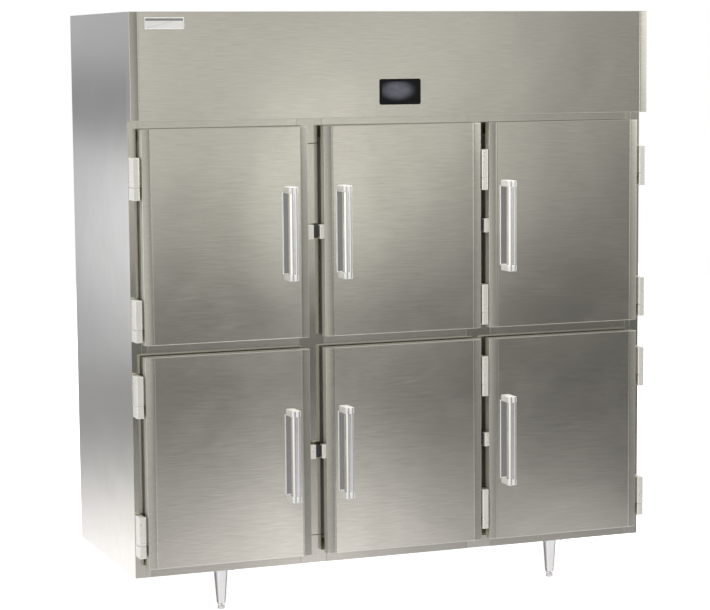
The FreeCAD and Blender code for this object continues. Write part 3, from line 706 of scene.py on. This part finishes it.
def header_skin():
    x, y, z = box3("header_cover")
    mats = (M["header"], M["header"])
    front_skin("header_skin", x, y, z, HEADER_DROP, HEADER_CROWN, mats, "cabinet",
               "header_cover")


for door in DOORS:
    door_skin(door)
    door_liner(door)
    gasket(door)
    handle(door)
    door_hardware(door)
hinge_bases()
header_skin()


# ---------------------------------------------------------------- frame, sides, small parts

SEAM = 0.0007                         # half of the fine dark line between two lengths of a mullion


def boxes(name, node, mat, r, axis="Z", shorter=0.0):
    """One rounded block for each of a node's solids, with its ends moved in by shorter."""
    bm = bmesh.new()
    for lo, hi in islands(node):
        if axis == "Z":
            outline = rounded((lo.x, hi.x), (lo.y, hi.y), r, 3)
            prism(bm, outline, lo.z + shorter, hi.z - shorter, r, "Z", 3)
        else:
            outline = rounded((lo.y, hi.y), (lo.z, hi.z), r, 3)
            prism(bm, outline, lo.x + shorter, hi.x - shorter, r, "X", 3)
    obj = finish_piece(name, bm, mat, "cabinet", 32.0)
    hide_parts(node)


boxes("stile_plates", "stiles", M["frame_z"], 0.0007)
boxes("mullion_covers", "mullions", M["frame_z"], 0.0010, shorter=SEAM)
boxes("top_rail_covers", "top_rails", M["rail_top"], 0.0012, "X")
boxes("middle_rail_covers", "middle_rails", M["frame_x"], 0.0012, "X")
boxes("bottom_rail_covers", "bottom_rails", M["frame_x"], 0.0012, "X")
boxes("breaker_edging", "breaker_strips", M["breaker"], 0.0015)
boxes("keepers", "latch_keepers", M["black"], 0.003)

SHEET = 0.001
FOLD_RADIUS = 0.0025
SIDE_BOW = 0.0014                     # how far the middle of a side sheet stands out
SIDE_CELLS = (12, 20)                 # across and up, so that the bow can bend the sheet


def fold(cx, cy, start, seg=4):
    """Points round a fold, a quarter turn back from the angle start."""
    turns = [math.radians(start - 90 * k / seg) for k in range(seg + 1)]
    return [(cx + FOLD_RADIUS * math.cos(t), cy + FOLD_RADIUS * math.sin(t)) for t in turns]


def side_sheet(node, name):
    """A folded side sheet, slightly bowed as thin sheet is."""
    x, y, z = box3(node)
    outer, way = (x[0], 1) if x[0] < 0 else (x[1], -1)
    flange, depth = x[1] - x[0], y[1] - y[0]
    r, t = FOLD_RADIUS, SHEET
    out = [(flange, 0.0)] + fold(r, r, 270)
    out += [(0.0, depth * k / SIDE_CELLS[0]) for k in range(1, SIDE_CELLS[0])]
    out += fold(r, depth - r, 180) + [(flange, depth)]
    ins = [(flange, depth - t), (r, depth - t), (t, depth - r), (t, r), (r, t), (flange, t)]
    pts = counter_clockwise([(outer + way * px, y[0] + py) for px, py in out + ins])
    bm = bmesh.new()
    rows = [k / SIDE_CELLS[1] for k in range(1, SIDE_CELLS[1])]
    verts = prism(bm, pts, z[0], z[1], 0.0, "Z", 1, rows)
    middle = sum(y) / 2
    for v in verts:
        if abs(v.co.x - outer) < 0.003:
            v.co.x -= way * SIDE_BOW * max(0.0, 1 - ((v.co.y - middle) / (depth / 2)) ** 2)
    cap = rounded(sorted((outer + way * t, outer + way * flange)), (y[0] + t, y[1] - t), 0.0)
    prism(bm, cap, z[1] - t, z[1], 0.0002, "Z", 2)
    prism(bm, cap, z[0], z[0] + t, 0.0002, "Z", 2)
    obj = finish_piece(name, bm, M["side"], "cabinet", 30.0)
    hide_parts(node)


side_sheet("side_panel_left", "side_sheet_left")
side_sheet("side_panel_right", "side_sheet_right")

SCREW = (0.0045, 0.0007)              # radius and height of the sheet screws
BACK_EDGE = 0.012                     # screws to the rear sheet's edges and to the middle of its joints
BACK_SCREW_ROWS = 9
BACK_SCREW_END = 0.05
JOINT_COVER = (0.02, 0.03)            # half width, and how far its ends stop short


def back_sheet():
    """The rear sheet set in by a screw head, with two joint covers and rows of screws."""
    x, y, z = box3("back_panel")
    head = SCREW[1]
    wide, short = JOINT_COVER
    face = y[1] - head
    bm = bmesh.new()
    bm.from_mesh(NODES["back_panel"].data)
    for v in bm.verts:
        if v.co.y > y[1] - 0.0003:
            v.co.y -= head
    joints = [x[0] + (x[1] - x[0]) * k / 3 for k in (1, 2)]
    for xx in joints:
        cover = rounded((z[0] + short, z[1] - short), (xx - wide, xx + wide), 0.003, 3)
        prism(bm, cover, face, face + head * 0.5, 0.0002, "Y", 2)
    columns = [x[0] + BACK_EDGE, x[1] - BACK_EDGE]
    columns += [xx + side for xx in joints for side in (-BACK_EDGE, BACK_EDGE)]
    for k in range(BACK_SCREW_ROWS):
        height = z[1] - z[0] - 2 * BACK_SCREW_END
        zz = z[0] + BACK_SCREW_END + height * k / (BACK_SCREW_ROWS - 1)
        for xx in columns:
            screw(bm, (xx, face, zz), *SCREW)
    for k in range(1, 12):
        xx = x[0] + (x[1] - x[0]) * k / 12
        for zz in (z[0] + BACK_EDGE, z[1] - BACK_EDGE):
            screw(bm, (xx, face, zz), *SCREW)
    obj = finish_piece("rear_sheet_panel", bm, M["rear"], "cabinet", 30.0)
    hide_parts("back_panel")


LID_SCREW_INSET = (0.06, 0.02)        # from the lid's ends and long edges
LID_SCREWS = 9


def lid():
    """The top sheet: a shallow turned-down pan with screws along its edges."""
    x, y, z = box3("top_panel")
    end, edge = LID_SCREW_INSET
    top = z[1] - SCREW[1]
    bm = bmesh.new()
    prism(bm, rounded(x, y, 0.002, 3), z[0], top, 0.0018, "Z", 4)
    for k in range(LID_SCREWS):
        xx = x[0] + end + (x[1] - x[0] - 2 * end) * k / (LID_SCREWS - 1)
        for yy in (y[0] + edge, y[1] - edge):
            screw(bm, (xx, yy, top), *SCREW, "Z")
    obj = finish_piece("top_sheet_panel", bm, M["side"], "cabinet", 30.0)
    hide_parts("top_panel")


back_sheet()
lid()

LEG_PLATE = 0.004
LEG_BOLT = 0.033                      # bolts to the leg's axis, each way
LEG_FOOT_RADIUS, LEG_TOP_RADIUS = 0.0156, 0.0248
LEG_ROWS = 8
# (radius, height above the floor)
FOOT_PROFILE = ((0.0, 0.0), (0.0085, 0.0), (0.0105, 0.0005), (0.0120, 0.0018), (0.0125, 0.0040),
                (0.0125, 0.0105), (0.0118, 0.0112), (0.0118, 0.0128), (0.0125, 0.0136), (0.0125, 0.0180),
                (0.0112, 0.0203), (0.0075, 0.0206), (0.0075, 0.0300))


def leg_profile(foot_top, top):
    """(radius, z) of a tapered leg, from the foot up to its plate."""
    low = foot_top + 0.004
    profile = [(0.0075, foot_top), (0.0140, foot_top), (0.0152, foot_top + 0.0012), (LEG_FOOT_RADIUS, low)]
    for k in range(1, LEG_ROWS + 1):
        t = k / LEG_ROWS
        r = LEG_FOOT_RADIUS + (LEG_TOP_RADIUS - LEG_FOOT_RADIUS) * t
        profile.append((r, low + (top - 0.010 - foot_top) * t))
    return profile + [(0.0252, top - 0.003), (0.0262, top - 0.001), (0.0290, top)]


def legs():
    """Tapered legs with their bolted plates, and the bullet feet in them."""
    foot_top, plate_z = span("legs", 2)
    bolt = ((0.0052, plate_z - 0.0095), (0.0060, plate_z - 0.0088), (0.0060, plate_z - 0.0042))
    bm = bmesh.new()
    feet = bmesh.new()
    for lo, hi in islands("legs"):
        x, y = (lo.x + hi.x) / 2, (lo.y + hi.y) / 2
        plate = rounded((lo.x, hi.x), (lo.y, hi.y), 0.008, 5)
        prism(bm, plate, plate_z - LEG_PLATE, plate_z, 0.0012, "Z", 3)
        lathe(bm, leg_profile(foot_top, plate_z - LEG_PLATE), x, y, 48)
        for dx in (-LEG_BOLT, LEG_BOLT):
            for dy in (-LEG_BOLT, LEG_BOLT):
                lathe(bm, bolt, x + dx, y + dy, 6)
        lathe(feet, FOOT_PROFILE, x, y, 40)
    obj = finish_piece("leg_cones", bm, M["leg"], "cabinet", 30.0)
    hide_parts("legs")
    obj = finish_piece("leg_feet", feet, M["polished"], "cabinet", 30.0)
    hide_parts("bullet_feet")


legs()

BEZEL_RIM = 0.0085


def display_surround():
    """The frame of the control window."""
    x, y, z = box3("display_bezel")
    rim = BEZEL_RIM
    outer = rounded(z, x, 0.007, 7)
    inner = rounded((z[0] + rim, z[1] - rim), (x[0] + rim, x[1] - rim), 0.003, 7)
    front = y[0]
    levels = ((outer, 0.0, y[1]), (outer, 0.0, front + 0.0012), (outer, 0.0005, front + 0.0004),
              (outer, 0.0014, front), (inner, -0.0006, front), (inner, 0.0, front + 0.0003),
              (inner, 0.0, front + 0.0009))
    bm = bmesh.new()
    rings = [ring(bm, [(v, w, u) for u, v in inset(pts, d)]) for pts, d, w in levels]
    bridge(bm, rings, flip=True)
    obj = finish_piece("display_surround", bm, M["gloss_black"], "cabinet", 30.0)
    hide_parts("display_bezel")


PLATE_EDGE = 0.0036                   # rim of the blank plate
PLATE_SHADOW_BAND = 0.0075


def blank_plate():
    """A rimmed plate with no lettering, and a dark strip along the top of its face as painted shadow under
    its top rim.
    """
    x, y, z = box3("nameplate")
    outer = rounded(z, x, 0.003, 5)
    front = y[0]
    levels = ((0.0, y[1]), (0.0, front + 0.0008), (0.0008, front), (0.0028, front),
              (PLATE_EDGE, front + 0.0008), (PLATE_EDGE, front + 0.0012))
    bm = bmesh.new()
    rings = [ring(bm, [(v, w, u) for u, v in inset(outer, d)]) for d, w in levels]
    bridge(bm, rings, flip=True)
    bm.faces.new(rings[-1])
    obj = finish_piece("blank_plate", bm, M["plate"], "cabinet", 30.0)
    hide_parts("nameplate")
    # painted shadow: a thin dark strip just under the top rim, where the rim's shade falls
    bm = bmesh.new()
    top = z[1] - PLATE_EDGE
    band = rounded((top - PLATE_SHADOW_BAND, top), (x[0] + PLATE_EDGE, x[1] - PLATE_EDGE), 0.001, 3)
    prism(bm, band, front + 0.0010, front + 0.0014, 0.0, "Y")
    obj = finish_piece("plate_upper_band", bm, M["breaker"], "cabinet", 30.0)
    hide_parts("nameplate")


display_surround()
blank_plate()
boxes("pan_slide_uprights", "slide_uprights", M["inner"], 0.0012)

SLIDE_FOLD = 0.002


def slides():
    """Folded angle slides, each with its upright side against the nearer wall of its bay."""
    bays = [sum(span(f"upper_{column}_door_gasket", 0)) / 2 for column in ("left", "center", "right")]
    bm = bmesh.new()
    t, r = SHEET, SLIDE_FOLD
    for lo, hi in islands("tray_slides"):
        middle = (lo.x + hi.x) / 2
        bay = min(bays, key=lambda c: abs(c - middle))
        way, wall, tip = (1, lo.x, hi.x) if middle < bay else (-1, hi.x, lo.x)
        out = [(wall, lo.z), (wall, hi.z - r), (wall + way * r * 0.3, hi.z - r * 0.3),
               (wall + way * r, hi.z), (tip - way * 0.0005, hi.z), (tip, hi.z - 0.0005),
               (tip - way * 0.0005, hi.z - t), (wall + way * (r + 0.0004), hi.z - t),
               (wall + way * t, hi.z - r - 0.0004), (wall + way * t, lo.z)]
        prism(bm, counter_clockwise([(pz, px) for px, pz in out]), lo.y, hi.y, 0.0, "Y")
    obj = finish_piece("pan_slides", bm, M["inner"], "cabinet", 25.0)
    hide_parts("tray_slides")


slides()


# ---------------------------------------------------------------- stage, light and camera

# The studio that the steel reflects, as soft bands. Each list pairs an angle in degrees with a brightness:
# up from the horizon (RISE), or round from the front, to the right (ACROSS, STRIP, SIDES, SHARE, GAIN).
FRONT_RISE = [(-20, 0.9), (-14, 0.88), (-12.3, 0.66), (-10.9, 0.46), (-9.2, 0.11), (-7.8, 0.0), (-6.8, 0.07),
              (-5.4, 0.36), (-3.9, 0.60), (-2.2, 0.82), (-0.5, 0.84), (1.5, 0.80), (20, 0.75)]
FRONT_ACROSS = [(-80, 1.0), (12, 1.3), (15.7, 1.05), (17.5, 0.86), (22, 1.0), (23.8, 1.0), (25.4, 0.72),
                (26.5, 0.58), (29, 0.5), (80, 0.5)]
FRONT_STRIP = [(-80, 0.0), (18, 0.05), (19.4, 1.4), (20.4, 1.4), (22, 0.05), (80, 0.0)]
STRIP_RISE = [(-20, 0.8), (-2.4, 1.0), (-1.4, 0.1), (0, 0), (20, 0)]
SIDES = [(-100, 0.7), (-85, 1.9), (-55, 1.9), (-38, 1.0), (-20, 0.9), (-12, 0.86), (-8, 0.80), (-3, 0.68),
         (0, 0.58), (4, 0.50), (8, 0.43), (12, 0.44), (28, 0.22), (33, 0.32), (38, 0.36), (48, 0.42),
         (56, 0.50), (75, 1.1), (100, 0.6)]
SIDES_SHARE = [(-100, 1.0), (9, 1.0), (13, 0.0), (27.5, 0.0), (30, 1.0), (100, 1.0)]
HIGH_GAIN = [(-100, 1.0), (28, 1.0), (33, 3.2), (100, 3.2)]
BACK_RISE = [(-20, 0.45), (-17.5, 0.1), (-16, 0.1), (-14, 0.6), (-13, 1.6), (-11.9, 1.35), (-10.9, 1.0),
             (-9.7, 0.55), (-8.5, 0.42), (-7.2, 0.65), (-6, 0.8), (-5, 0.95), (-3.8, 1.0), (-2.4, 0.78),
             (-1.1, 0.36), (0.3, 0.6), (20, 0.66)]
RISE_ENDS = (-20.0, 20.0)             # the angles that the RISE lists cover
ACROSS_ENDS = (-80.0, 80.0)
ROUND_ENDS = (-100.0, 100.0)
DIFFUSE_LEVEL = 0.6                   # the even surround that lights everything but reflections
WHITE = (1.0, 1.0, 1.0, 1.0)
LOW_TINT = (1.0, 0.985, 1.045, 1)
REAR_TINT = (0.97, 0.99, 1.09, 1)


FLOOR_CORNER = (-3.2, -4.2)
FLOOR_CELL = (0.85, 1.3)
FLOOR_CELLS = 12
FLOOR_LIFT = 0.75                     # glow to the camera only, so that the floor meets the white surround


def stage_floor():
    """A large pale floor."""
    mesh = bpy.data.meshes.new("floor")
    bm = bmesh.new()
    xs = [FLOOR_CORNER[0] + FLOOR_CELL[0] * i for i in range(FLOOR_CELLS + 1)]
    ys = [FLOOR_CORNER[1] + FLOOR_CELL[1] * i for i in range(FLOOR_CELLS + 1)]
    rows = [ring(bm, [(x, y, 0.0) for x in xs]) for y in ys]
    for a, b in zip(rows, rows[1:]):
        for i in range(FLOOR_CELLS):
            bm.faces.new((a[i], a[i + 1], b[i + 1], b[i]))
    bm.normal_update()
    bm.to_mesh(mesh)
    bm.free()
    obj = bpy.data.objects.new("floor", mesh)
    bpy.context.scene.collection.objects.link(obj)
    g = Graph("floor_pale")
    cloud = g.ramp(g.noise(g.coords(), 2.0, 3.0), 0.3, 0.7)
    tint = g.mix(cloud, (0.86, 0.86, 0.86, 1), (0.89, 0.89, 0.885, 1))
    lift = g.math("MULTIPLY", g.node("ShaderNodeLightPath").outputs["Is Camera Ray"], FLOOR_LIFT)
    g.principled(Base_Color=tint, Roughness=0.7, Emission_Color=(1, 1, 1, 1), Emission_Strength=lift)
    mesh.materials.append(g.mat)
    obj.visible_glossy = False


def overhead_light(name, place, size, power):
    """A soft rectangular light that faces straight down and isn't reflected."""
    light = bpy.data.lights.new(name, "AREA")
    light.shape = "RECTANGLE"
    light.size, light.size_y = size
    light.energy = power
    obj = bpy.data.objects.new(name, light)
    obj.location = place
    obj.rotation_euler = Vector((0, 0, -1)).to_track_quat("-Z", "Y").to_euler()
    obj.visible_glossy = False
    bpy.context.scene.collection.objects.link(obj)


def world_light():
    """A plain white surround to the eye, with the soft bright and dark bands of a studio in reflections."""
    g = Graph("studio", world=True)
    bpy.context.scene.world = g.mat
    sep = g.node("ShaderNodeSeparateXYZ", {0: g.node("ShaderNodeTexCoord").outputs["Generated"]})
    x, y, z = sep.outputs
    up = g.math("MULTIPLY", g.math("ARCSINE", z), 180 / math.pi)
    turn = g.math("MULTIPLY", g.math("ARCTAN2", x, g.math("MULTIPLY", y, -1.0)), 180 / math.pi)
    high = g.ramp(up, 3.0, 40.0, 0.0, 1.0, True)
    # ahead: bands by height, and one narrow bright strip
    front = g.curve(up, FRONT_RISE, *RISE_ENDS)
    across = g.mix(g.ramp(up, -9.5, -11.5), g.curve(turn, FRONT_ACROSS, *ACROSS_ENDS), 0.98)
    spot = g.math("MULTIPLY", g.curve(turn, FRONT_STRIP, *ACROSS_ENDS), g.curve(up, STRIP_RISE, *RISE_ENDS))
    front = g.math("MULTIPLY", front, g.math("ADD", across, spot))
    # to the sides: one curve round, with more above the horizon and less near the floor
    gain = g.mix(g.ramp(up, -2.2, -0.8), 1.0, g.curve(turn, HIGH_GAIN, *ROUND_ENDS, 4.0))
    sides = g.math("MULTIPLY", g.curve(turn, SIDES, *ROUND_ENDS), gain)
    sides = g.math("MULTIPLY", sides, g.ramp(up, -9.5, -5.5, 0.55, 1.0))
    sides = g.mix(g.ramp(up, -12.0, -14.5), sides, 1.05)
    front = g.mix(g.curve(turn, SIDES_SHARE, *ROUND_ENDS), front, sides)
    # behind: bands by height, with one step from dark to bright across their middle
    middle = g.math("MULTIPLY", g.ramp(up, -2.0, -3.0), g.ramp(up, -8.0, -7.0))
    step = g.mix(middle, 1.0, g.ramp(turn, -166.8, -163.8, 0.62, 1.2))
    back = g.math("MULTIPLY", g.curve(up, BACK_RISE, *RISE_ENDS), step)
    rear = g.ramp(y, -0.25, 0.25, 0.0, 1.0, True)
    level = g.mix(rear, front, back)
    tint = g.mix(g.ramp(up, -8.0, -12.0), WHITE, LOW_TINT)
    tint = g.mix(g.math("MULTIPLY", rear, g.ramp(up, -12.0, -7.0)), tint, REAR_TINT)
    colour = g.mix(high, g.mix(1.0, level, tint, "MULTIPLY"), WHITE)
    path = g.node("ShaderNodeLightPath")
    seen = g.mix(path.outputs["Is Glossy Ray"], DIFFUSE_LEVEL, colour)
    seen = g.mix(path.outputs["Is Camera Ray"], seen, WHITE)
    background = g.node("ShaderNodeBackground", {"Color": seen, "Strength": 1.0})
    g.put(g.out, "Surface", background.outputs[0])


CAMERA_PLACE = (-3.0469, -7.8750, 1.9544)
CAMERA_TURN = (20.943, -6.641, -0.474)   # yaw to the right, pitch and roll, in degrees
CAMERA_LENS = 116.35
CAMERA_SHIFT = (0.0003, 0.022)


def camera():
    """The camera at the photograph's viewing angle."""
    data = bpy.data.cameras.new("camera")
    data.sensor_width = 36.0
    data.lens = CAMERA_LENS
    data.shift_x, data.shift_y = CAMERA_SHIFT
    data.clip_end = 100.0
    obj = bpy.data.objects.new("camera", data)
    yaw, pitch, roll = (math.radians(angle) for angle in CAMERA_TURN)
    ahead = Vector((math.sin(yaw) * math.cos(pitch), math.cos(yaw) * math.cos(pitch), math.sin(pitch)))
    level = Vector((math.cos(yaw), -math.sin(yaw), 0))
    upright = level.cross(ahead)
    right = level * math.cos(roll) + upright * math.sin(roll)
    up = upright * math.cos(roll) - level * math.sin(roll)
    turned = Matrix((right, up, -ahead)).transposed()
    obj.matrix_world = Matrix.Translation(CAMERA_PLACE) @ turned.to_4x4()
    bpy.context.scene.collection.objects.link(obj)
    bpy.context.scene.camera = obj


stage_floor()
world_light()
overhead_light("overhead_front", (0.3, -0.9, 3.2), (2.8, 0.8), 80)
overhead_light("overhead_back", (3.0, 4.5, 5.0), (6.0, 6.0), 340)
overhead_light("overhead_left", (-1.6, 0.6, 2.5), (0.8, 1.0), 70)
camera()
bpy.context.scene.view_settings.view_transform = "Standard"
